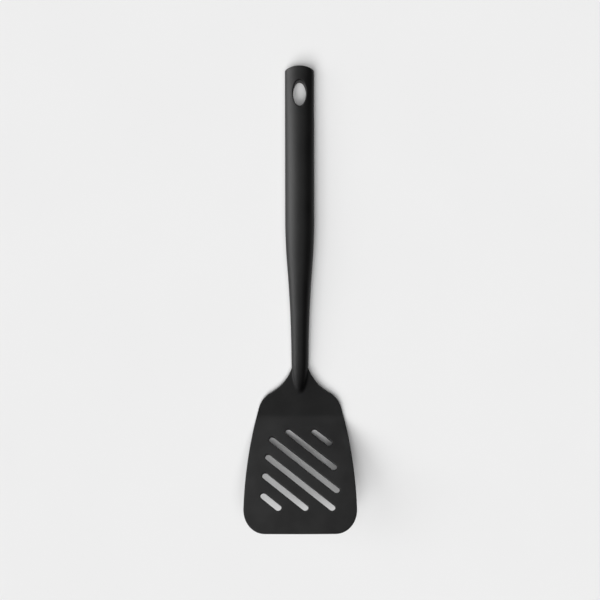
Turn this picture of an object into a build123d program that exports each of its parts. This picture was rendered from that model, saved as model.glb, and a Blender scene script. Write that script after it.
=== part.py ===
from build123d import *
import math
import os

# Slotted kitchen turner, lying food side up on its heel and its handle.
# Millimetres. +Y runs from the blade's front edge to the hanging end, +Z is up, the bench is z = 0.
# The middle line of blade, tang and handle is one path in the YZ plane: a straight raised blade,
# the bend at the heel, a straight root, the long arc of the neck and the flatter arc of the grip.

# Side view: the middle line
tip_y = -165.5
blade_angle = 28.0
bend_radius = 18.0
bend_y = -87.5
root_slope = 5.0
root_end_y = -60.0
crest_y = 45.0
grip_arc_r = 3600.0

# Thicknesses of the plate
blade_t = 2.4
root_t = 3.2
edge_t = 1.0
bevel_run = 12.4

# Plan view of the blade: tangent arcs from the front edge up to the tang
blade_half = 39.8
widest_y = -153.0
front_bow_r = 3000.0
corner_r = 15.2
side_r = 264.0
shoulder_r = 18.4
flare_r = 32.0
flare_y = -42.1
tang_half = 4.3
tang_end_y = 24.0

# Slots, drawn in the plane of the blade: parallel, one pitch apart, each right across the slotted field
slot_count = 6
slot_w = 4.55
slot_slant = 39.5
slot_pitch = 12.0
first_slot_offset = -4.1

# Slotted field: two lines square to the blade, measured down it from the bend, and an arc a side
field_heel = 3.3
field_front = 59.7
field_half = 25.9
field_r = 220.0

# Handle seen from above: straight grip, then two tangent curves a side down to the neck
grip_half = 10.5
neck_half = 6.2
taper_start_y = 56.0
taper_turn_y = 21.0
taper_end_y = -50.0

# Handle seen from the side: distance up the handle, height above and depth below the middle line
stations = [
    (176.0, 5.0, 4.9),
    (147.0, 6.3, 6.1),
    (119.0, 7.1, 6.9),
    (85.0, 7.8, 7.6),
    (55.0, 8.1, 7.9),
    (33.0, 8.0, 7.7),
    (8.0, 7.3, 6.9),
    (-18.0, 6.6, 5.9),
    (-46.0, 6.2, 4.5),
]
end_y = 165.5
end_r = 20.5
end_round = 0.7
front_nose = 23.8
rear_nose = 14.0

# Inside the handle
wall = 2.4
cells = [(30.0, 49.0), (51.0, 69.0), (71.0, 89.0), (91.0, 109.0), (111.0, 130.0)]
boss_r = 3.2
boss_reach = 8.0  # more than the hollow's depth
boss_cover = wall / 2  # a boss stops this far under the skin
peg_r = 1.5
peg_length = 3.0
peg_clearance = 0.1
peg_floor_gap = 0.3

# Hanging hole, upright through both shells
hole_y = 145.5
hole_half_x = 4.65
hole_half_y = 9.25
hole_round = 1.0
spigot_wall = 1.5
spigot_depth = 3.0

# Stiffener and rivets
bar_w = 5.0
bar_t = 1.4
bar_start_y = -38.0
bar_end_y = 44.0
rivet_ys = [-28.0, -6.0, 16.0]
rivet_r = 1.2
rivet_head_r = 2.2
rivet_head_t = 0.8
head_pocket = 0.2

deep = 60.0  # longer than anything it cuts
spill = 1.0  # how far a cutter or an outline runs past the piece it meets
parting_run = 5.0  # how far the parting surface runs on past both ends of the handle
tilt = math.radians(blade_angle)
slope = math.radians(root_slope)

# Points of the middle line
bend_centre = (bend_y, bend_radius + blade_t / 2)
blade_start = (bend_y - bend_radius * math.sin(tilt), bend_centre[1] - bend_radius * math.cos(tilt))
root_start = (bend_y + bend_radius * math.sin(slope), bend_centre[1] - bend_radius * math.cos(slope))
root_end = (root_end_y, root_start[1] + (root_end_y - root_start[0]) * math.tan(slope))
neck_arc_r = (crest_y - root_end_y) / math.sin(slope)
neck_centre = (crest_y, root_end[1] - neck_arc_r * math.cos(slope))
grip_centre = (crest_y, neck_centre[1] + neck_arc_r - grip_arc_r)


def handle_height(y):
    """Height of the middle line at y, from the root's end up the handle."""
    centre, radius = (neck_centre, neck_arc_r) if y < crest_y else (grip_centre, grip_arc_r)
    return centre[1] + math.sqrt(radius**2 - (y - centre[0]) ** 2)


def handle_turn(y):
    """Slope of the middle line at y, in radians, falling towards +Y positive."""
    centre, radius = (neck_centre, neck_arc_r) if y < crest_y else (grip_centre, grip_arc_r)
    return math.asin((y - centre[0]) / radius)


def half_width(y):
    """Half width of the handle at y, with the steepest taper where the two curves meet."""
    steepest = 2 * (grip_half - neck_half) / (taper_start_y - taper_end_y)
    if y > taper_turn_y:
        run = max(taper_start_y - y, 0)
        return grip_half - steepest * run**2 / (2 * (taper_start_y - taper_turn_y))
    run = max(y - taper_end_y, 0)
    return neck_half + steepest * run**2 / (2 * (taper_turn_y - taper_end_y))


def offset_point(y, height):
    """Point of the YZ plane that stands height above the handle's middle line at y."""
    turn = handle_turn(y)
    return (y + height * math.sin(turn), handle_height(y) + height * math.cos(turn))


def cross_plane(y):
    """Plane square to the handle at y: local x is across it, local y is up from the middle line."""
    turn = handle_turn(y)
    return Plane(origin=(0, y, handle_height(y)), x_dir=(1, 0, 0), z_dir=(0, -math.cos(turn), math.sin(turn)))


def arc_about(centre, start, end):
    """Arc from start to end about a centre, the short way."""
    radius = math.dist(centre, start)
    bulge = [(a + b) / 2 - c for a, b, c in zip(start, end, centre)]
    scale_up = radius / math.hypot(*bulge)
    middle = tuple(c + b * scale_up for c, b in zip(centre, bulge))
    return ThreePointArc(start, middle, end)


def side_solid(edges):
    """Solid with this outline in the YZ plane, wide enough for anything on it."""
    return extrude(Plane.YZ * make_face(edges), deep, both=True)


def circle_meet(centre_a, radius_a, centre_b, radius_b, right):
    """Where two circles meet: the point to the right of the way from a to b, or to the left."""
    gap = math.dist(centre_a, centre_b)
    ux, uy = (centre_b[0] - centre_a[0]) / gap, (centre_b[1] - centre_a[1]) / gap
    along = (gap**2 + radius_a**2 - radius_b**2) / (2 * gap)
    out = math.sqrt(radius_a**2 - along**2) * (1 if right else -1)
    return (centre_a[0] + ux * along + uy * out, centre_a[1] + uy * along - ux * out)


def beyond(centre, through, distance):
    """Point at a distance from centre, on the line through another point."""
    gap = math.dist(centre, through)
    return tuple(c + (t - c) * distance / gap for c, t in zip(centre, through))


# ---- Blade ----


def plate_profile():
    """Side view of blade and tang: thick in the root and tang, thinner blade, bevel on the upper face."""
    half, root_half = blade_t / 2, root_t / 2
    up = (math.sin(tilt), math.cos(tilt))
    back = (-math.sin(slope), math.cos(slope))
    run = (blade_start[0] - tip_y) / math.cos(tilt)

    def on_blade(distance, height):
        return (
            blade_start[0] - distance * math.cos(tilt) + height * up[0],
            blade_start[1] + distance * math.sin(tilt) + height * up[1],
        )

    def on_root(point, height):
        return (point[0] + height * back[0], point[1] + height * back[1])

    bevel_at = run - bevel_run / math.cos(tilt)
    top_root, low_root = on_root(root_end, root_half), on_root(root_end, -root_half)
    top_bend, low_bend = on_root(root_start, half), on_root(root_start, -half)
    top_tang, low_tang = offset_point(tang_end_y, root_half), offset_point(tang_end_y, -root_half)
    edges = [
        Line(low_tang, top_tang),
        arc_about(neck_centre, top_tang, top_root),
        Line(top_root, top_bend),
        arc_about(bend_centre, top_bend, on_blade(0, half)),
        Line(on_blade(0, half), on_blade(bevel_at, half)),
        Line(on_blade(bevel_at, half), on_blade(run, edge_t - half)),
        Line(on_blade(run, edge_t - half), on_blade(run, -half)),
        Line(on_blade(run, -half), on_blade(0, -half)),
        arc_about(bend_centre, on_blade(0, -half), low_bend),
        Line(low_bend, low_root),
        arc_about(neck_centre, low_root, low_tang),
    ]
    return side_solid(edges)


def plate_outline():
    """Plan view of blade and tang: five tangent arcs a side, seen from above."""
    side_c = (blade_half - side_r, widest_y)
    bow_c = (0, tip_y + front_bow_r)
    flare_c = (tang_half + flare_r, flare_y)
    corner_c = circle_meet(side_c, side_r - corner_r, bow_c, front_bow_r - corner_r, right=True)
    shoulder_c = circle_meet(side_c, side_r - shoulder_r, flare_c, flare_r + shoulder_r, right=True)
    front = (0, tip_y)
    bow_end = beyond(bow_c, corner_c, front_bow_r)
    corner_end = beyond(side_c, corner_c, side_r)
    side_end = beyond(side_c, shoulder_c, side_r)
    shoulder_end = beyond(shoulder_c, flare_c, shoulder_r)
    tang_start = (tang_half, flare_y)
    tang_end = tang_end_y + spill
    half = [
        arc_about(bow_c, front, bow_end),
        arc_about(corner_c, bow_end, corner_end),
        arc_about(side_c, corner_end, side_end),
        arc_about(shoulder_c, side_end, shoulder_end),
        arc_about(flare_c, shoulder_end, tang_start),
        Line(tang_start, (tang_half, tang_end)),
        Line((tang_half, tang_end), (0, tang_end)),
    ]
    face = make_face(half + [Line((0, tang_end), front)])
    return extrude(face + mirror(face, Plane.YZ), deep, both=True)


def field_side(offset, side):
    """x where a slot's line meets the arc at the field's right side (1) or left side (-1)."""
    slant = math.radians(slot_slant)
    rise = math.tan(slant)
    ahead = field_front - offset / math.cos(slant)
    half_b = side * field_r - ahead * rise
    rest = ahead**2 - 2 * field_r * field_half
    return (side * math.sqrt(half_b**2 - rise**2 * rest) - half_b) / rise**2


def slot_span(offset):
    """The x of both ends of a slot's middle line, where it leaves the slotted field."""
    slant = math.radians(slot_slant)
    heel_x, front_x = [(v * math.cos(slant) - offset) / math.sin(slant) for v in (field_heel, field_front)]
    return max(field_side(offset, -1), heel_x), min(field_side(offset, 1), front_x)


def slot_cutters():
    """Rounded slots square to the blade, on parallel lines one pitch apart."""
    up = (0, math.sin(tilt), math.cos(tilt))
    plane = Plane(origin=(0, *blade_start), x_dir=(1, 0, 0), z_dir=up)
    slant = math.radians(slot_slant)
    cutters = []
    for number in range(slot_count):
        offset = first_slot_offset + number * slot_pitch
        x0, x1 = slot_span(offset)
        middle = (x0 + x1) / 2
        down = (offset + middle * math.sin(slant)) / math.cos(slant)
        length = (x1 - x0) / math.cos(slant)
        slot = Pos(middle, -down) * Rot(0, 0, -slot_slant) * SlotCenterToCenter(length, slot_w)
        cutters.append(extrude(plane * slot, blade_t * 2, both=True))
    return cutters


def make_blade():
    plate = plate_profile() & plate_outline()
    for cutter in slot_cutters():
        plate -= cutter
    plate -= bar_blank(bar_w, bar_start_y, bar_end_y)
    for y in rivet_ys:
        plate -= rivet_cylinder(y, rivet_r, -root_t, root_t)
    return plate


# ---- Stiffener and rivets ----


def bar_blank(width, start_y, end_y):
    """Flat bar that follows the neck's arc, its top level with the tang's top."""
    top, low = root_t / 2, root_t / 2 - bar_t
    corners = [offset_point(y, h) for y, h in ((start_y, low), (start_y, top), (end_y, top), (end_y, low))]
    edges = [
        Line(corners[0], corners[1]),
        arc_about(neck_centre, corners[1], corners[2]),
        Line(corners[2], corners[3]),
        arc_about(neck_centre, corners[3], corners[0]),
    ]
    return side_solid(edges) & Box(width, 8 * deep, 2 * deep)


def rivet_cylinder(y, radius, low, high):
    """Round bar square to the tang at y, between two heights from the middle line."""
    length = high - low
    turn = math.degrees(handle_turn(y))
    middle = offset_point(y, (low + high) / 2)
    return Pos(0, *middle) * Rot(-turn, 0, 0) * Cylinder(radius, length)


def make_bar():
    bar = bar_blank(bar_w, bar_start_y, bar_end_y)
    for y in rivet_ys:
        bar -= rivet_cylinder(y, rivet_r, -root_t, root_t)
    return bar


def make_rivets(plate):
    top = root_t / 2
    rivets = []
    for y in rivet_ys:
        rivet = rivet_cylinder(y, rivet_r, -top, top)
        rivet += rivet_cylinder(y, rivet_head_r, top, top + rivet_head_t)
        rivet += rivet_cylinder(y, rivet_head_r, -top - rivet_head_t, -top)
        rivets.append(rivet - plate)
    return Compound(children=rivets)


# ---- Handle ----


def above_middle():
    """Everything above the handle's middle line, for splitting the handle into its two shells."""
    start = (root_start[0] - parting_run, root_start[1] - parting_run * math.tan(slope))
    crest = (crest_y, handle_height(crest_y))
    far_y = stations[0][0] + parting_run
    far = (far_y, handle_height(far_y))
    edges = [
        Line(start, root_end),
        arc_about(neck_centre, root_end, crest),
        arc_about(grip_centre, crest, far),
        Line(far, (far_y, deep)),
        Line((far_y, deep), (start[0], deep)),
        Line((start[0], deep), start),
    ]
    return side_solid(edges)


def tube(depths, inset=0.0):
    """Smooth body through the stations' ellipses; depths picks the half height for each one."""
    sections = []
    for (y, *_), depth in zip(stations, depths):
        sections.append(cross_plane(y) * Ellipse(half_width(y) - inset, depth - inset))
    return loft(sections)


def nose(length, depth):
    """Rounded end of a shell over the blade's root: half an ellipsoid in line with the neck."""
    y = stations[-1][0]
    blob = scale(Sphere(1), by=(half_width(y), depth, length))
    front_half = blob & Pos(0, 0, length / 2) * Box(deep, deep, length)
    return cross_plane(y) * front_half


def edge_middle(edge):
    return edge.bounding_box().center()


def handle_body(depths, nose_length, front):
    """One full outer body, with its nose, its domed end and the hanging hole rounded at one mouth."""
    body = tube(depths) + nose(nose_length, depths[-1])
    body &= Pos(0, end_y - end_r, 0) * Cylinder(end_r, 4 * deep) + Pos(0, end_y - end_r - 2 * deep, 0) * Box(
        deep, 4 * deep, 4 * deep
    )
    rim = [e for e in body.edges() if edge_middle(e).Y > end_y - end_r]
    body = fillet(rim, end_round)
    body -= Pos(0, hole_y, 0) * extrude(Ellipse(hole_half_x, hole_half_y), deep, both=True)
    centred = [e for e in body.edges() if abs(edge_middle(e).X) < spill]
    loops = [e for e in centred if abs(edge_middle(e).Y - hole_y) < spill]
    loops.sort(key=lambda e: edge_middle(e).Z)
    mouth = loops[-1] if front else loops[0]
    return fillet(mouth, hole_round)


def cavities(depths):
    """Hollow of one shell: closed cells between cross ribs, less a round boss in the middle of each."""
    hollow = tube(depths, wall)
    parts = []
    for y0, y1 in cells:
        slab = Pos(0, (y0 + y1) / 2, 0) * Box(deep, y1 - y0, 2 * deep)
        parts.append(hollow & slab)
    return parts


def boss_ys():
    """Middle of each cell that has a peg; the first cell holds the end of the bar."""
    return [(y0 + y1) / 2 for y0, y1 in cells[1:]]


def upright(radius, y, low, high):
    return Pos(0, y, (low + high) / 2) * Cylinder(radius, high - low)


def spigot(grow=0.0):
    """Oval collar of the front shell that lines the hanging hole below the parting line."""
    top = handle_height(hole_y) + spill
    outer = Ellipse(hole_half_x + spigot_wall + grow, hole_half_y + spigot_wall + grow)
    depth = spigot_depth + spill
    collar = extrude(outer - Ellipse(hole_half_x, hole_half_y), depth)
    return Pos(0, hole_y, top - depth) * collar


def inner_pieces(plate, bar):
    """Everything the two shells close round, with room for the rivets' heads."""
    pieces = [plate, bar]
    for y in rivet_ys:
        top = root_t / 2 + rivet_head_t + head_pocket
        pieces.append(rivet_cylinder(y, rivet_head_r + head_pocket, -top, top))
    return pieces


def make_front_shell(inner):
    depths = [s[1] for s in stations]
    shell = handle_body(depths, front_nose, front=True) & above_middle()
    for hollow in cavities(depths):
        shell -= hollow
    for y in boss_ys():
        parting = handle_height(y)
        boss = upright(boss_r, y, parting, parting + boss_reach)
        shell += boss & tube(depths, boss_cover) & above_middle()
        shell += upright(peg_r, y, parting - peg_length, parting + spill)
    shell += spigot()
    for piece in inner:
        shell -= piece
    return shell


def make_rear_shell(inner):
    depths = [s[2] for s in stations]
    shell = handle_body(depths, rear_nose, front=False) - above_middle()
    for hollow in cavities(depths):
        shell -= hollow
    for y in boss_ys():
        parting = handle_height(y)
        boss = upright(boss_r, y, parting - boss_reach, parting + spill)
        shell += (boss & tube(depths, boss_cover)) - above_middle()
        shell -= upright(peg_r + peg_clearance, y, parting - peg_length - peg_floor_gap, parting + spill)
    shell -= spigot()
    for piece in inner:
        shell -= piece
    return shell


os.makedirs("parts", exist_ok=True)
blade = make_blade()
stiffener = make_bar()
enclosed = inner_pieces(blade, stiffener)
nodes = {
    "blade": blade,
    "stiffener_bar": stiffener,
    "tang_rivets": make_rivets(blade),
    "front_shell": make_front_shell(enclosed),
    "rear_shell": make_rear_shell(enclosed),
}
for name, shape in nodes.items():
    export_step(shape, f"parts/{name}.step")
    print(name, "solids", len(shape.solids()), "volume", round(shape.volume), shape.bounding_box())
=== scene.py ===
import bpy
import bmesh
from math import asin, atan2, cos, dist, pi, radians, sin, sqrt, tan
from mathutils import Matrix, Vector


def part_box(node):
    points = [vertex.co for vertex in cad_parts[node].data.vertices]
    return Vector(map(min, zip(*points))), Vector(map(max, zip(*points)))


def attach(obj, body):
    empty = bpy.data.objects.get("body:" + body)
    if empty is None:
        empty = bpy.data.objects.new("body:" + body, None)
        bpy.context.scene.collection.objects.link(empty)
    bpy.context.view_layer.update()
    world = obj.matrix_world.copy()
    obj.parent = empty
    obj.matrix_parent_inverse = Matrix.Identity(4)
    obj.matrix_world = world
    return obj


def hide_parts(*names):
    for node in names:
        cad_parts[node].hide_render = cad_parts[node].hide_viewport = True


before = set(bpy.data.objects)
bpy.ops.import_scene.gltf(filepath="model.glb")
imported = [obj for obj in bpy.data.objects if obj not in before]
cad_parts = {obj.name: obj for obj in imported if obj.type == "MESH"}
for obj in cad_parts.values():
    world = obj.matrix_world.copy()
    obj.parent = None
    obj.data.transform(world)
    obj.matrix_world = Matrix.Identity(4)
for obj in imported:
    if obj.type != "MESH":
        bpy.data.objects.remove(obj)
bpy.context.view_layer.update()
print("frame loaded:", sorted(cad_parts))

bladeLow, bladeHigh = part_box("blade")
gripLow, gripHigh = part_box("rear_shell")
tipY = bladeLow.y
endY = gripHigh.y


# ---- small helpers

weld = 1e-6              # points nearer than this are one point


def smoothStep(value, low, high):
    part = min(max((value - low) / (high - low), 0.0), 1.0)
    return part * part * (3 - 2 * part)


def circlesMeet(centreA, radiusA, centreB, radiusB):
    # the crossing on the right of the way from a to b
    gap = dist(centreA, centreB)
    ux, uy = (centreB[0] - centreA[0]) / gap, (centreB[1] - centreA[1]) / gap
    along = (gap**2 + radiusA**2 - radiusB**2) / (2 * gap)
    out = sqrt(radiusA**2 - along**2)
    return (centreA[0] + ux * along + uy * out, centreA[1] + uy * along - ux * out)


def turnAbout(centre, start, end):
    # signed angle from start to end, the short way, anticlockwise from above positive
    first = atan2(start[1] - centre[1], start[0] - centre[0])
    last = atan2(end[1] - centre[1], end[0] - centre[0])
    return (last - first + pi) % (2 * pi) - pi


def beyond(centre, through, distance):
    gap = dist(centre, through)
    return tuple(c + (t - c) * distance / gap for c, t in zip(centre, through))


def newPiece(name, bm, materials):
    mesh = bpy.data.meshes.new(name)
    bm.to_mesh(mesh)
    bm.free()
    for material in materials:
        mesh.materials.append(material)
    piece = bpy.data.objects.new(name, mesh)
    bpy.context.scene.collection.objects.link(piece)
    print(name, "made,", len(mesh.polygons), "faces")
    return piece


def shadeSmooth(bm, sharpFrom):
    # smooth all over, with hard edges only where two faces turn by more than sharpFrom
    for face in bm.faces:
        face.smooth = True
    for edge in bm.edges:
        edge.smooth = len(edge.link_faces) < 2 or edge.calc_face_angle(0) < sharpFrom


# ---- middle line of the turner, seen from the side

line = {
    "bladeAngle": radians(28),
    "bendRadius": 0.018,
    "bendY": -0.0875,
    "rootSlope": radians(5),
    "rootEndY": -0.060,
    "crestY": 0.045,
    "gripRadius": 3.6,
}

plate = {
    "bladeThick": 0.0024,
    "rootThick": 0.0032,
    "edgeThick": 0.0010,
    "bevelRun": 0.0124,
    "edgeRound": 0.0003,   # moulded rounding of every edge
    "strip": 0.0009,        # flat band beside the rounding
    "halfWidth": bladeHigh.x,
    "widestY": -0.153,
    "bowRadius": 3.0,
    "cornerRadius": 0.0152,
    "sideRadius": 0.264,
    "shoulderRadius": 0.0184,
    "flareRadius": 0.032,
    "flareY": -0.0421,
    "tangHalf": 0.0043,
    "tangEndY": bladeHigh.y,
    "bowSteps": 8,
    "cornerSteps": 14,
    "sideSteps": 20,
    "shoulderSteps": 12,
    "flareSteps": 18,
    "bendCuts": 14,
    "tangCuts": 8,
    "roundSteps": 3,
    "weld": 2e-5,
    "sharpFrom": radians(40),
}

slots = {
    "width": 0.00455,
    "slant": radians(39.5),
    "pitch": 0.012,
    "firstOffset": -0.0041,
    "count": 6,
    "endSteps": 12,
    # slotted field: two lines square to the blade, measured down it from the bend, and an arc a side
    "fieldHeel": 0.0033,
    "fieldFront": 0.0597,
    "fieldHalf": 0.0259,
    "fieldRadius": 0.220,
}

bendZ = line["bendRadius"] + plate["bladeThick"] / 2
bladeStart = (line["bendY"] - line["bendRadius"] * sin(line["bladeAngle"]),
              bendZ - line["bendRadius"] * cos(line["bladeAngle"]))
rootStart = (line["bendY"] + line["bendRadius"] * sin(line["rootSlope"]),
             bendZ - line["bendRadius"] * cos(line["rootSlope"]))
rootEnd = (line["rootEndY"], rootStart[1] + (line["rootEndY"] - rootStart[0]) * tan(line["rootSlope"]))
neckRadius = (line["crestY"] - rootEnd[0]) / sin(line["rootSlope"])
crestZ = rootEnd[1] + neckRadius * (1 - cos(line["rootSlope"]))


def middle(y):
    # height of the middle line at y, and how far its upright leans towards the hanging end
    if y < bladeStart[0]:
        return bladeStart[1] + (bladeStart[0] - y) * tan(line["bladeAngle"]), line["bladeAngle"]
    if y < rootStart[0]:
        lean = asin((line["bendY"] - y) / line["bendRadius"])
        return bendZ - line["bendRadius"] * cos(lean), lean
    if y < rootEnd[0]:
        return rootStart[1] + (y - rootStart[0]) * tan(line["rootSlope"]), -line["rootSlope"]
    radius = neckRadius if y < line["crestY"] else line["gripRadius"]
    lean = asin((y - line["crestY"]) / radius)
    return crestZ - radius * (1 - cos(lean)), lean


def place(x, y, height):
    # point at a height above the middle line, square to it
    z, lean = middle(y)
    return Vector((x, y + height * sin(lean), z + height * cos(lean)))


def halfThick(y):
    # the plate thickens from the bend to the end of the root
    half = plate["bladeThick"] / 2
    part = min(max((y - rootStart[0]) / (rootEnd[0] - rootStart[0]), 0), 1)
    return half + (plate["rootThick"] / 2 - half) * part


def plateTop(y):
    bevel = min(max((tipY + plate["bevelRun"] - y) / plate["bevelRun"], 0), 1)
    return halfThick(y) - bevel * (plate["bladeThick"] - plate["edgeThick"])


def plateBottom(y):
    return -halfThick(y)


# ---- blade

def arcOn(bm, vert, centre, angle, steps):
    # carries an open outline on round a centre, and gives its new last point
    spun = bmesh.ops.spin(bm, geom=[vert], cent=(*centre, 0), axis=(0, 0, 1), dvec=(0, 0, 0),
                          angle=angle, steps=steps, use_merge=False, use_duplicate=False)
    return [item for item in spun["geom_last"] if isinstance(item, bmesh.types.BMVert)][0]


def lineOn(bm, vert, x, y):
    grown = bmesh.ops.extrude_vert_indiv(bm, verts=[vert])
    grown["verts"][0].co = (x, y, 0)
    return grown["verts"][0]


def plateLoop(bm, inset):
    # outline of blade and tang from above, drawn a distance inside the real edge
    sideCentre = (plate["halfWidth"] - plate["sideRadius"], plate["widestY"])
    frontY = tipY + plate["bladeThick"] / 2 * sin(line["bladeAngle"])   # the lower edge reaches the tip
    bowCentre = (0, frontY + plate["bowRadius"])
    flareCentre = (plate["tangHalf"] + plate["flareRadius"], plate["flareY"])
    cornerCentre = circlesMeet(sideCentre, plate["sideRadius"] - plate["cornerRadius"],
                               bowCentre, plate["bowRadius"] - plate["cornerRadius"])
    shoulderCentre = circlesMeet(sideCentre, plate["sideRadius"] - plate["shoulderRadius"],
                                 flareCentre, plate["flareRadius"] + plate["shoulderRadius"])
    front = (0, frontY)
    bowEnd = beyond(bowCentre, cornerCentre, plate["bowRadius"])
    cornerEnd = beyond(sideCentre, cornerCentre, plate["sideRadius"])
    sideEnd = beyond(sideCentre, shoulderCentre, plate["sideRadius"])
    shoulderEnd = beyond(shoulderCentre, flareCentre, plate["shoulderRadius"])
    tangStart = (plate["tangHalf"], plate["flareY"])
    before = set(bm.edges)
    last = bm.verts.new((0, frontY + inset, 0))
    arcs = ((bowCentre, front, bowEnd, plate["bowSteps"]),
            (cornerCentre, bowEnd, cornerEnd, plate["cornerSteps"]),
            (sideCentre, cornerEnd, sideEnd, plate["sideSteps"]),
            (shoulderCentre, sideEnd, shoulderEnd, plate["shoulderSteps"]),
            (flareCentre, shoulderEnd, tangStart, plate["flareSteps"]))
    for centre, start, end, steps in arcs:
        last = arcOn(bm, last, centre, turnAbout(centre, start, end), steps)
    last = lineOn(bm, last, plate["tangHalf"] - inset, plate["tangEndY"] - inset)
    lineOn(bm, last, 0, plate["tangEndY"] - inset)
    half = [edge for edge in bm.edges if edge not in before]
    ends = list({vert for edge in half for vert in edge.verts})
    bmesh.ops.mirror(bm, geom=ends + half, matrix=Matrix(), merge_dist=weld, axis="X")
    return [edge for edge in bm.edges if edge not in before]


def fieldSide(offset, side):
    # where a slot's line meets the arc at the right side (1) or left side (-1) of the slotted field
    rise = tan(slots["slant"])
    ahead = slots["fieldFront"] - offset / cos(slots["slant"])
    halfB = side * slots["fieldRadius"] - ahead * rise
    rest = ahead**2 - 2 * slots["fieldRadius"] * slots["fieldHalf"]
    return (side * sqrt(halfB**2 - rise**2 * rest) - halfB) / rise**2


def slotSpan(offset):
    heelX, frontX = ((value * cos(slots["slant"]) - offset) / sin(slots["slant"])
                     for value in (slots["fieldHeel"], slots["fieldFront"]))
    return max(fieldSide(offset, -1), heelX), min(fieldSide(offset, 1), frontX)


def slotLoop(bm, number, grow):
    # outline of one slot, laid out in the plane of the blade and then seen from above
    offset = slots["firstOffset"] + number * slots["pitch"]
    low, high = slotSpan(offset)
    reach = (high - low) / 2 / cos(slots["slant"])
    radius = slots["width"] / 2 + grow
    across = (low + high) / 2
    down = (offset + across * sin(slots["slant"])) / cos(slots["slant"])
    before = set(bm.edges)
    first = bm.verts.new((reach, -radius, 0))
    last = arcOn(bm, first, (reach, 0), pi, slots["endSteps"])
    last = lineOn(bm, last, -reach, radius)
    last = arcOn(bm, last, (-reach, 0), pi, slots["endSteps"])
    bmesh.ops.contextual_create(bm, geom=[last, first])
    loop = [edge for edge in bm.edges if edge not in before]
    seen = Matrix.Translation((across, bladeStart[0] - down * cos(line["bladeAngle"]), 0)) \
        @ Matrix.Diagonal((1, cos(line["bladeAngle"]), 1, 1)) @ Matrix.Rotation(-slots["slant"], 4, "Z")
    bmesh.ops.transform(bm, matrix=seen, verts=list({vert for edge in loop for vert in edge.verts}))
    return loop


def makeBlade():
    bm = bmesh.new()
    rims = [plateLoop(bm, 0)] + [slotLoop(bm, number, 0) for number in range(slots["count"])]
    inner = [plateLoop(bm, plate["strip"])]
    inner += [slotLoop(bm, number, plate["strip"]) for number in range(slots["count"])]
    for rim, band in zip(rims, inner):
        bmesh.ops.bridge_loops(bm, edges=rim + band)
    sheet = [edge for loop in inner for edge in loop]
    bmesh.ops.triangle_fill(bm, use_beauty=True, edges=sheet, normal=(0, 0, 1))
    # cross cuts let the flat sheet follow the bend, the root's taper and the tang's arc
    bendCuts, tangCuts = plate["bendCuts"], plate["tangCuts"]
    cuts = [bladeStart[0] + (rootStart[0] - bladeStart[0]) * step / bendCuts for step in range(bendCuts + 1)]
    cuts += [tipY + plate["bevelRun"], rootEnd[0]]
    cuts += [rootEnd[0] + (plate["tangEndY"] - rootEnd[0]) * step / tangCuts for step in range(1, tangCuts)]
    for y in cuts:
        bmesh.ops.bisect_plane(bm, geom=bm.verts[:] + bm.edges[:] + bm.faces[:], dist=weld,
                               plane_co=(0, y, 0), plane_no=(0, 1, 0))
    bmesh.ops.remove_doubles(bm, verts=bm.verts, dist=plate["weld"])
    raised = bmesh.ops.extrude_face_region(bm, geom=bm.faces[:], use_keep_orig=True)
    upper = {item for item in raised["geom"] if isinstance(item, bmesh.types.BMVert)}
    for vert in bm.verts:
        x, y = vert.co.x, vert.co.y
        vert.co = place(x, y, plateTop(y) if vert in upper else plateBottom(y))
    bmesh.ops.recalc_face_normals(bm, faces=bm.faces)
    walls = [face for face in bm.faces if 0 < sum(vert in upper for vert in face.verts) < len(face.verts)]
    rimEdges = [edge for face in walls for edge in face.edges
                if (edge.verts[0] in upper) == (edge.verts[1] in upper)]
    bmesh.ops.bevel(bm, geom=rimEdges, offset=plate["edgeRound"], offset_type="OFFSET",
                    segments=plate["roundSteps"], profile=0.5, affect="EDGES", material=-1,
                    clamp_overlap=True)
    shadeSmooth(bm, plate["sharpFrom"])
    piece = newPiece("slotted_blade", bm, [bladeNylon])
    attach(piece, "root")
    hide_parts("blade")


# ---- handle shells

grip = {
    # distance up the handle, height above and depth below the middle line
    "stations": ((0.176, 0.0050, 0.0049), (0.147, 0.0063, 0.0061), (0.119, 0.0071, 0.0069),
                 (0.085, 0.0078, 0.0076), (0.055, 0.0081, 0.0079), (0.033, 0.0080, 0.0077),
                 (0.008, 0.0073, 0.0069), (-0.018, 0.0066, 0.0059), (-0.046, 0.0062, 0.0045)),
    # seen from above: straight grip, then two tangent curves a side down to the neck
    "half": 0.0105,
    "neckHalf": 0.0062,
    "taperStart": 0.056,
    "taperTurn": 0.021,
    "taperEnd": -0.050,
    "columns": 44,
    "rowStep": 0.003,
    "seam": 0.00015,        # chamfer along the joint between the two shells
    "endRadius": 0.0205,
    "endRound": 0.0007,
    "breakY": -0.0524,      # where the root comes out between the shells
    "noseRows": 18,
    "noseGap": 0.0004,      # the nose rows stop this far short of the root's way out
    "noseStep": 0.00001,
    "filletRun": 0.006,     # the fillet grows to full size over this length
    "filletSteps": 5,
    "sink": 0.00003,
    "bowRows": 4,
    "roundRows": 6,
    "faceRows": 4,
    "skinTries": 4,
    "weld": 2e-6,
    "sharpFrom": radians(38),
}

frontShell = {"name": "front_grip_shell", "node": "front_shell", "side": 1, "station": 1,
              "nose": 0.0238, "fillet": 0.0010}
rearShell = {"name": "rear_grip_shell", "node": "rear_shell", "side": -1, "station": 2,
             "nose": 0.014, "fillet": 0.0007}

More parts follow.
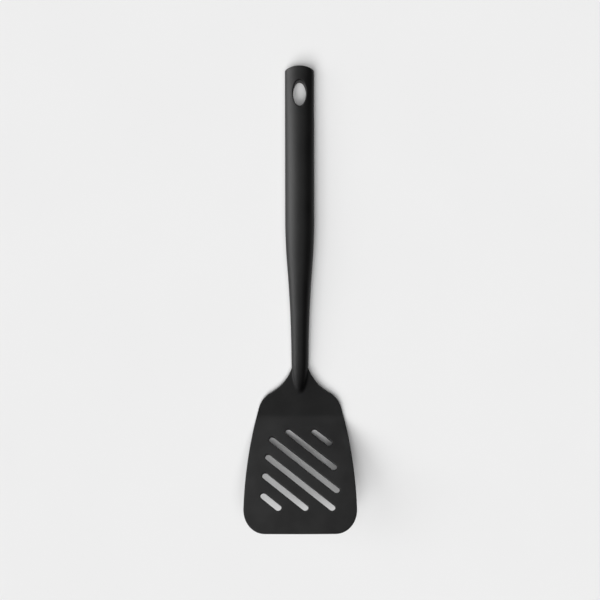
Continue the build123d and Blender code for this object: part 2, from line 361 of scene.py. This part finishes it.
eye = {
    "y": 0.1455,
    "halfX": 0.00465,
    "halfY": 0.00925,
    "round": 0.0010,
    "lip": 0.00018,         # small chamfer where the front collar ends
    "collarWall": 0.0015,
    "collarDepth": 0.003,
    "windowX": 0.0083,
    "windowY": 0.0123,
    "windowRows": 20,
    "rings": 6,
    "roundRings": 5,
    "reachX": 0.95,         # share of the half width, and of the window, that still belongs to the hole
    "reachY": 1.02,
}


def halfWidth(y):
    # the taper is steepest where its two curves meet
    steepest = 2 * (grip["half"] - grip["neckHalf"]) / (grip["taperStart"] - grip["taperEnd"])
    if y > grip["taperTurn"]:
        run = max(grip["taperStart"] - y, 0)
        return grip["half"] - steepest * run**2 / (2 * (grip["taperStart"] - grip["taperTurn"]))
    run = max(y - grip["taperEnd"], 0)
    return grip["neckHalf"] + steepest * run**2 / (2 * (grip["taperTurn"] - grip["taperEnd"]))


def stationAt(y, index):
    # smooth curve through the stations: index 1 height above, 2 depth below
    points = sorted((station[0], station[index]) for station in grip["stations"])
    y = min(max(y, points[0][0]), points[-1][0])
    slopes = [(b[1] - a[1]) / (b[0] - a[0]) for a, b in zip(points, points[1:])]
    turns = [0.0] + [(near + far) / 2 for near, far in zip(slopes, slopes[1:])] + [slopes[-1]]
    spot = max(number for number in range(len(slopes)) if points[number][0] <= y)
    (y0, v0), (y1, v1) = points[spot], points[spot + 1]
    span, part = y1 - y0, (y - y0) / (y1 - y0)
    rise = part * part * (3 - 2 * part)
    lead = part * (1 - part) ** 2 * span * turns[spot]
    tail = part * part * (part - 1) * span * turns[spot + 1]
    return v0 + (v1 - v0) * rise + lead + tail


def section(shell, y):
    # half width and height of a shell at y; past the last station it closes as half an ellipsoid
    last = grip["stations"][-1]
    if y >= last[0]:
        return halfWidth(y), stationAt(y, shell["station"])
    part = sqrt(max(1 - ((last[0] - y) / shell["nose"]) ** 2, 0))
    return halfWidth(last[0]) * part, last[shell["station"]] * part


def plateFace(shell, y):
    return plateTop(y) if shell["side"] > 0 else -plateBottom(y)


def filletAt(shell, y):
    return shell["fillet"] * smoothStep(grip["breakY"] - y, 0, grip["filletRun"])


def noseEnd(shell):
    # where the nose has come down to the upper edge of its fillet
    y = grip["breakY"]
    while section(shell, y)[1] > plateFace(shell, y) + filletAt(shell, y):
        y -= grip["noseStep"]
    return y


def domeY(x):
    return endY - grip["endRadius"] + sqrt(grip["endRadius"] ** 2 - x * x)


def acrossAngle(column, low):
    # the outermost columns are kept for the chamfer along the joint
    count = grip["columns"]
    return low + (pi - 2 * low) * (column - 1) / (count - 2)


def bodyPoint(shell, y, column, inset=0, back=None, drop=1):
    # skin point of a plain row; inset, back and drop carry the row round the domed end
    half, height = section(shell, y)
    half, height = half - inset, height - inset
    edge = column in (0, grip["columns"])
    if edge:
        x, up = (half - grip["seam"]) * (1 if column == 0 else -1), 0
    else:
        angle = acrossAngle(column, asin(grip["seam"] / height))
        x, up = half * cos(angle), max(height * sin(angle) * drop, grip["seam"] if drop < 1 else 0)
    if back is not None:
        y = domeY(x) - back - (grip["seam"] if edge and drop < 1 else 0)
    point = place(x, y, shell["side"] * up)
    return point if back is None else Vector((x, y, point.z))


def nosePoint(shell, y, column):
    half, height = section(shell, y)
    low = asin(min((plateFace(shell, y) + filletAt(shell, y)) / height, 1))
    angle = low + (pi - 2 * low) * column / grip["columns"]
    return place(half * cos(angle), y, shell["side"] * height * sin(angle))


def skinPoint(shell, x, y):
    # skin point over or under a place seen from above, found by stepping along the handle
    along = y
    for step in range(grip["skinTries"]):
        half, height = section(shell, along)
        point = place(x, along, shell["side"] * height * sqrt(max(1 - (x / half) ** 2, 0)))
        along += y - point.y
    return point


def shellRows(shell):
    # one function of the column for each row, from the tip of the nose to the foot of the domed end
    rows = []
    tip = noseEnd(shell)
    for step in range(grip["noseRows"] + 1):
        y = tip + (grip["breakY"] - grip["noseGap"] - tip) * (1 - cos(step / grip["noseRows"] * pi / 2))
        rows.append(lambda column, y=y: nosePoint(shell, y, column))
    low, high = eye["y"] - eye["windowY"], eye["y"] + eye["windowY"]
    plain = round((low - grip["breakY"]) / grip["rowStep"])
    ys = [grip["breakY"] + (low - grip["breakY"]) * step / plain for step in range(plain)]
    ys += [low + (high - low) * step / eye["windowRows"] for step in range(eye["windowRows"] + 1)]
    rows += [lambda column, y=y: bodyPoint(shell, y, column) for y in ys]

    def bowed(column, part):
        start = bodyPoint(shell, high, column)
        end = bodyPoint(shell, domeY(start.x) - grip["endRound"], column)
        return bodyPoint(shell, start.y + (end.y - start.y) * part, column)

    def rounded(column, angle):
        start = bowed(column, 1)
        inset = grip["endRound"] * (1 - cos(angle))
        return bodyPoint(shell, start.y, column, inset, grip["endRound"] * (1 - sin(angle)))

    def faced(column, drop):
        start = bowed(column, 1)
        return bodyPoint(shell, start.y, column, grip["endRound"], 0, drop)

    count = grip["bowRows"]
    rows += [lambda column, part=step / count: bowed(column, part) for step in range(1, count + 1)]
    count = grip["roundRows"]
    rows += [lambda column, part=step / count: rounded(column, part * pi / 2) for step in range(1, count + 1)]
    count = grip["faceRows"]
    rows += [lambda column, drop=1 - step / count: faced(column, drop) for step in range(1, count + 1)]
    return rows


def growLoop(bm, edges, mover):
    # one more ring of faces off a run of open edges; mover gives each new vert from its place
    grown = bmesh.ops.extrude_edge_only(bm, edges=edges)["geom"]
    fresh = {item for item in grown if isinstance(item, bmesh.types.BMVert)}
    for vert in fresh:
        vert.co = mover(vert)
    return [item for item in grown if isinstance(item, bmesh.types.BMEdge) and fresh.issuperset(item.verts)]


def bezier(start, corner, end, part):
    return start * (1 - part) ** 2 + corner * 2 * part * (1 - part) + end * part * part


def cutEye(bm, shell):
    # hanging hole: window in the skin, oval mouth, rounded rim, wall, and the collar that laps the joint
    side = shell["side"]
    around = bm.verts.layers.float.new("around")
    rims = bm.verts.layers.float_vector.new("rim")
    partingZ, collarZ = place(0, eye["y"], 0).z, place(0, eye["y"], 0).z - eye["collarDepth"]
    inside = [face for face in bm.faces if abs(face.calc_center_median().x) < eye["windowX"]
              and abs(face.calc_center_median().y - eye["y"]) < eye["windowY"]]
    bmesh.ops.delete(bm, geom=inside, context="FACES")
    loop = [edge for edge in bm.edges if edge.is_boundary
            and all(abs(vert.co.x) < eye["reachX"] * section(shell, eye["y"])[0]
                    and abs(vert.co.y - eye["y"]) < eye["windowY"] * eye["reachY"] for vert in edge.verts)]
    for vert in {vert for edge in loop for vert in edge.verts}:
        vert[around] = atan2((vert.co.y - eye["y"]) / eye["windowY"], vert.co.x / eye["windowX"])
        vert[rims] = vert.co

    def oval(vert, grow):
        return (eye["halfX"] + grow) * cos(vert[around]), eye["y"] + (eye["halfY"] + grow) * sin(vert[around])

    def inward(part):
        def mover(vert):
            x, y = oval(vert, eye["round"])
            start = vert[rims]
            return skinPoint(shell, start.x + (x - start.x) * part, start.y + (y - start.y) * part)
        return mover

    def rounding(part):
        def mover(vert):
            corner = skinPoint(shell, *oval(vert, 0))
            foot = corner - Vector((0, 0, side * eye["round"]))
            return bezier(skinPoint(shell, *oval(vert, eye["round"])), corner, foot, part)
        return mover

    def ring(grow, z):
        return lambda vert: Vector((*oval(vert, grow), z))

    for step in range(1, eye["rings"] + 1):
        loop = growLoop(bm, loop, inward(step / eye["rings"]))
    for step in range(1, eye["roundRings"] + 1):
        loop = growLoop(bm, loop, rounding(step / eye["roundRings"]))
    wallEnd = collarZ + side * eye["lip"]
    rings = ((0, wallEnd), (eye["lip"], collarZ), (eye["collarWall"], collarZ), (eye["collarWall"], partingZ))
    for grow, z in rings:
        loop = growLoop(bm, loop, ring(grow, z))
    return loop


def blendNose(bm, shell):
    # concave blend from the nose down to the face of the blade's root
    side, last = shell["side"], grip["stations"][-1]
    start = bm.verts.layers.float_vector.new("start")
    limit = grip["breakY"] - grip["noseGap"] / 2
    loop = [edge for edge in bm.edges if edge.is_boundary and all(vert.co.y < limit for vert in edge.verts)]
    for vert in {vert for edge in loop for vert in edge.verts}:
        vert[start] = vert.co

    def sweep(part):
        def mover(vert):
            x, y = vert[start].x, vert[start].y
            height = plateFace(shell, y) + filletAt(shell, y)
            slope = Vector((x / halfWidth(last[0]) ** 2, (y - last[0]) / shell["nose"] ** 2, 0))
            steep = height / last[shell["station"]] ** 2 / slope.length
            out = slope.normalized()
            drop = filletAt(shell, y)
            corner = out * drop * steep
            end = corner + out * drop * sqrt(1 + steep * steep)
            across = bezier(Vector((0, 0, 0)), corner, end, part)
            down = drop * (1 - part) ** 2 - (grip["sink"] if part == 1 else 0)
            spot = vert[start] + across
            return place(spot.x, spot.y, side * (plateFace(shell, spot.y) + down))
        return mover

    for step in range(1, grip["filletSteps"] + 1):
        loop = growLoop(bm, loop, sweep(step / grip["filletSteps"]))


def makeShell(shell):
    bm = bmesh.new()
    rows = shellRows(shell)
    bmesh.ops.create_grid(bm, x_segments=grip["columns"], y_segments=len(rows) - 1, size=1)
    for vert in bm.verts:
        column = round((vert.co.x + 1) / 2 * grip["columns"])
        row = round((vert.co.y + 1) / 2 * (len(rows) - 1))
        vert.co = rows[row](column)
    bmesh.ops.remove_doubles(bm, verts=bm.verts, dist=grip["weld"])
    collar = cutEye(bm, shell)
    blendNose(bm, shell)
    bmesh.ops.remove_doubles(bm, verts=bm.verts, dist=grip["weld"])
    rim = [edge for edge in bm.edges if edge.is_boundary]
    bmesh.ops.triangle_fill(bm, use_beauty=True, edges=rim, normal=(0, 0, 1))
    bmesh.ops.recalc_face_normals(bm, faces=bm.faces)
    shadeSmooth(bm, grip["sharpFrom"])
    piece = newPiece(shell["name"], bm, [handleNylon])
    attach(piece, "root")
    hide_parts(shell["node"])


# ---- materials

class Wire:
    # one output socket; sums on it turn into Math nodes
    def __init__(self, paint, socket):
        self.paint = paint
        self.socket = socket

    def maths(self, operation, first, second):
        return self.paint.add("ShaderNodeMath", {"operation": operation}, {0: first, 1: second})

    def __add__(self, other):
        return self.maths("ADD", self, other)

    def __radd__(self, other):
        return self.maths("ADD", other, self)

    def __sub__(self, other):
        return self.maths("SUBTRACT", self, other)

    def __rsub__(self, other):
        return self.maths("SUBTRACT", other, self)

    def __mul__(self, other):
        return self.maths("MULTIPLY", self, other)

    def __rmul__(self, other):
        return self.maths("MULTIPLY", other, self)


class Paint:
    # node tree of one material
    def __init__(self, name):
        self.material = bpy.data.materials.new(name)
        self.material.use_nodes = True
        self.tree = self.material.node_tree
        self.tree.nodes.clear()

    def add(self, kind, settings, sockets, output=0):
        node = self.tree.nodes.new(kind)
        for key, value in settings.items():
            setattr(node, key, value)
        for key, value in sockets.items():
            if isinstance(value, Wire):
                self.tree.links.new(value.socket, node.inputs[key])
            else:
                node.inputs[key].default_value = value
        return Wire(self, node.outputs[output] if len(node.outputs) else None)

    def spot(self, centre, stretch):
        # place on the piece in metres, from a centre of its own, stretched along chosen axes
        where = self.add("ShaderNodeTexCoord", {}, {}, output="Object")
        return self.add("ShaderNodeMapping", {"vector_type": "TEXTURE"},
                        {"Vector": where, "Location": centre, "Scale": stretch})

    def noise(self, where, size, detail, rough=0.5):
        return self.add("ShaderNodeTexNoise", {},
                        {"Vector": where, "Scale": 1 / size, "Detail": detail, "Roughness": rough})

    def cells(self, where, size, smooth=0.6):
        return self.add("ShaderNodeTexVoronoi", {"feature": "SMOOTH_F1"},
                        {"Vector": where, "Scale": 1 / size, "Smoothness": smooth})

    def ramp(self, value, low, high):
        # 0 below low, 1 above high, eased between
        return self.add("ShaderNodeMapRange", {"interpolation_type": "SMOOTHSTEP"},
                        {"Value": value, "From Min": low, "From Max": high})

    def blend(self, factor, first, second):
        return self.add("ShaderNodeMix", {"data_type": "RGBA"},
                        {0: factor, 6: (*first, 1), 7: (*second, 1)}, output=2)

    def bump(self, height, distance, strength=1.0, under=None):
        sockets = {"Height": height, "Distance": distance, "Strength": strength}
        if under is not None:
            sockets["Normal"] = under
        return self.add("ShaderNodeBump", {}, sockets)

    def finish(self, sockets):
        shader = self.add("ShaderNodeBsdfPrincipled", {}, sockets)
        self.add("ShaderNodeOutputMaterial", {}, {"Surface": shader})
        return self.material


# what blade and handle nylon have in common
nylon = {
    "toneRange": (0.3, 0.7),        # share of the mottling that goes from dark to light
    "wearRange": (0.35, 0.7),
    "scratchRange": (0.66, 0.74),
    "wearTone": 0.5,
    "scratchTone": 0.3,
    "wearPolish": 0.06,
    "grainMiddle": 0.4,
    "grainRough": 0.05,
    "scratchStrength": 0.5,
}

nylonBlade = {
    "name": "black_nylon_blade",
    "centre": (0, -0.12, 0.02),
    "dark": (0.0036, 0.0036, 0.0037),
    "light": (0.0064, 0.0064, 0.0065),
    "wornTone": (0.010, 0.010, 0.010),
    "patch": 0.018,          # size of the slow mottling
    "grain": 0.00038,        # spark-eroded grain of the mould
    "grainDepth": 0.000022,
    "fine": 0.00012,
    "fineDepth": 0.000006,
    "roughness": 0.50,
    "roughSpread": 0.10,
    "gloss": 0.20,
    "scratchStretch": (0.00025, 0.012, 0.012),
    "scratchDepth": 0.000008,
    "wearFrom": tipY + 0.016,
    "wearTo": tipY + 0.001,
}

nylonHandle = {
    "name": "black_nylon_handle",
    "centre": (0, 0.06, 0.01),
    "dark": (0.0034, 0.0034, 0.0035),
    "light": (0.0060, 0.0060, 0.0061),
    "wornTone": (0.0085, 0.0085, 0.0085),
    "patch": 0.022,
    "grain": 0.00034,
    "grainDepth": 0.000022,
    "fine": 0.00011,
    "fineDepth": 0.000006,
    "roughness": 0.50,
    "roughSpread": 0.09,
    "gloss": 0.20,
    "scratchStretch": (0.010, 0.00022, 0.010),
    "scratchDepth": 0.000005,
    "wearFrom": endY - 0.012,
    "wearTo": endY - 0.001,
}

steel = {
    "name": "brushed_stainless",
    "centre": (0, 0.003, 0.008),
    "stretch": (0.00018, 0.020, 0.00018),
    "dark": (0.42, 0.42, 0.43),
    "light": (0.58, 0.58, 0.59),
    "roughness": 0.27,
    "roughSpread": 0.14,
    "lineDepth": 0.000006,
    "patch": 0.007,
    "patchTone": 0.4,
    "patchRough": 0.08,
    "toneRange": (0.45, 0.95),
}

paper = {
    "name": "pale_paper",
    "tone": (0.800, 0.800, 0.800),
    "paler": (0.806, 0.806, 0.806),
    "fibre": 0.0012,
    "fibreDepth": 0.00001,
    "cloud": 0.09,
    "toneRange": (0.3, 0.7),
    "roughness": 0.9,
    "fibreRough": 0.1,
}


def nylonPaint(look):
    paint = Paint(look["name"])
    where = paint.spot(look["centre"], (1, 1, 1))
    patches = paint.noise(where, look["patch"], 3)
    grain = paint.cells(where, look["grain"])
    fine = paint.noise(where, look["fine"], 2)
    lines = paint.noise(paint.spot(look["centre"], look["scratchStretch"]), 1.0, 2)
    scratches = paint.ramp(lines, *nylon["scratchRange"])
    along = paint.add("ShaderNodeSeparateXYZ", {}, {"Vector": where}, output="Y")
    limits = sorted(look[end] - look["centre"][1] for end in ("wearFrom", "wearTo"))
    reach = paint.ramp(along, *limits)
    reach = reach if look["wearTo"] > look["wearFrom"] else 1 - reach
    worn = reach * paint.ramp(patches, *nylon["wearRange"])
    colour = paint.blend(paint.ramp(patches, *nylon["toneRange"]), look["dark"], look["light"])
    rubbed = paint.add("ShaderNodeMix", {"data_type": "RGBA"},
                       {0: worn * nylon["wearTone"] + scratches * nylon["scratchTone"], 6: colour,
                        7: (*look["wornTone"], 1)}, output=2)
    roughness = look["roughness"] + (patches - 0.5) * look["roughSpread"] - worn * nylon["wearPolish"]
    roughness = roughness + (grain - nylon["grainMiddle"]) * nylon["grainRough"]
    skin = paint.bump(grain, look["grainDepth"])
    skin = paint.bump(fine, look["fineDepth"], 1.0, skin)
    skin = paint.bump(1 - scratches, look["scratchDepth"], nylon["scratchStrength"], skin)
    return paint.finish({"Base Color": rubbed, "Roughness": roughness, "Normal": skin,
                         "Specular IOR Level": look["gloss"]})


def steelPaint(look):
    paint = Paint(look["name"])
    brushed = paint.noise(paint.spot(look["centre"], look["stretch"]), 1.0, 4, 0.6)
    patches = paint.noise(paint.spot(look["centre"], (1, 1, 1)), look["patch"], 2)
    tone = paint.ramp(brushed + patches * look["patchTone"], *look["toneRange"])
    colour = paint.blend(tone, look["dark"], look["light"])
    roughness = look["roughness"] + (brushed - 0.5) * look["roughSpread"]
    roughness = roughness + (patches - 0.5) * look["patchRough"]
    return paint.finish({"Base Color": colour, "Roughness": roughness, "Metallic": 1.0,
                         "Normal": paint.bump(brushed, look["lineDepth"])})


def paperPaint(look):
    paint = Paint(look["name"])
    where = paint.spot((0, 0, 0), (1, 1, 1))
    clouds = paint.noise(where, look["cloud"], 2)
    fibres = paint.noise(where, look["fibre"], 2)
    colour = paint.blend(paint.ramp(clouds, *look["toneRange"]), look["tone"], look["paler"])
    roughness = look["roughness"] + fibres * look["fibreRough"]
    return paint.finish({"Base Color": colour, "Roughness": roughness, "Specular IOR Level": 0.0,
                         "Normal": paint.bump(fibres, look["fibreDepth"])})


bladeNylon = nylonPaint(nylonBlade)
handleNylon = nylonPaint(nylonHandle)
stainless = steelPaint(steel)

makeBlade()
makeShell(frontShell)
makeShell(rearShell)

for name in ("stiffener_bar", "tang_rivets"):
    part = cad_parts[name]
    for number in range(len(part.material_slots)):
        part.material_slots[number].material = stainless
    print(name, "kept from the frame,", len(part.material_slots), "material slot")


# ---- floor, lights, camera

room = {
    "floorSize": 2.5,
    "floorDrop": 0.0002,
    "backdrop": 0.86,        # seen past the floor's edge, without lighting anything
    "spread": 40,
    # elevation, bearing anticlockwise from the hanging end, strength
    "tableSuns": {
        "tableKey": (50, 150, 0.6),
        "tableOverhead": (80, 180, 0.5),
        "tableLeft": (35, 90, 0.2),
    },
    "turnerSuns": {
        "turnerLeft": (10, 90, 1.2),
        "turnerBackLeft": (15, 45, 1.2),
        "turnerHigh": (50, 70, 0.4),
        "turnerOverhead": (80, 270, 0.2),
    },
    # a near panel, so the side towards it is the brighter one
    "panelPlace": (-0.25, 0.12, 0.20),
    "panelAim": (0, -0.10, 0.02),
    "panelSize": 0.22,
    "panelPower": 0.9,
}


def makeFloor():
    bm = bmesh.new()
    bmesh.ops.create_grid(bm, x_segments=1, y_segments=1, size=room["floorSize"])
    bmesh.ops.translate(bm, verts=bm.verts, vec=(0, 0, -room["floorDrop"]))
    floor = newPiece("floor", bm, [paperPaint(paper)])
    return floor


def makeWorld():
    world = bpy.data.worlds.new("room")
    bpy.context.scene.world = world
    world.use_nodes = True
    background = world.node_tree.nodes["Background"]
    background.inputs["Color"].default_value = (1, 1, 1, 1)
    background.inputs["Strength"].default_value = room["backdrop"]
    world.cycles_visibility.diffuse = False
    world.cycles_visibility.glossy = False


def makeSun(name, elevation, bearing, strength, lit):
    light = bpy.data.lights.new(name, "SUN")
    light.energy = strength * pi
    light.angle = radians(room["spread"])
    lamp = bpy.data.objects.new(name, light)
    bpy.context.scene.collection.objects.link(lamp)
    up, around = radians(elevation), radians(bearing)
    towards = Vector((-sin(around) * cos(up), cos(around) * cos(up), sin(up)))
    lamp.rotation_euler = towards.to_track_quat("Z", "Y").to_euler()
    lamp.light_linking.receiver_collection = lit


def makePanel(lit):
    light = bpy.data.lights.new("turnerPanel", "AREA")
    light.size = room["panelSize"]
    light.energy = room["panelPower"]
    lamp = bpy.data.objects.new("turnerPanel", light)
    bpy.context.scene.collection.objects.link(lamp)
    lamp.location = room["panelPlace"]
    away = Vector(room["panelPlace"]) - Vector(room["panelAim"])
    lamp.rotation_euler = away.to_track_quat("Z", "Y").to_euler()
    lamp.light_linking.receiver_collection = lit


def makeGroup(name, members):
    group = bpy.data.collections.new(name)
    for member in members:
        group.objects.link(member)
    return group


# the table and the turner are lit apart, each by its own soft lamps
turnerGroup = makeGroup("turner", [item for item in bpy.context.scene.objects if item.type == "MESH"])
tableGroup = makeGroup("table", [makeFloor()])
makeWorld()
for name, values in room["tableSuns"].items():
    makeSun(name, *values, tableGroup)
for name, values in room["turnerSuns"].items():
    makeSun(name, *values, turnerGroup)
makePanel(turnerGroup)
print("floor and", len(room["tableSuns"]) + len(room["turnerSuns"]) + 1, "lamps set")

view = {
    "sensor": 36,
    "lens": 65.9,
    "farthest": 20,
    "place": (0.0001, -0.0031, 0.8),
    "turn": -0.00177,
}

lens = bpy.data.cameras.new("camera")
lens.sensor_width = view["sensor"]
lens.lens = view["lens"]
lens.clip_end = view["farthest"]
camera = bpy.data.objects.new("camera", lens)
bpy.context.scene.collection.objects.link(camera)
camera.location = view["place"]
camera.rotation_euler = (0, 0, view["turn"])
bpy.context.scene.camera = camera
bpy.context.scene.view_settings.view_transform = "Standard"
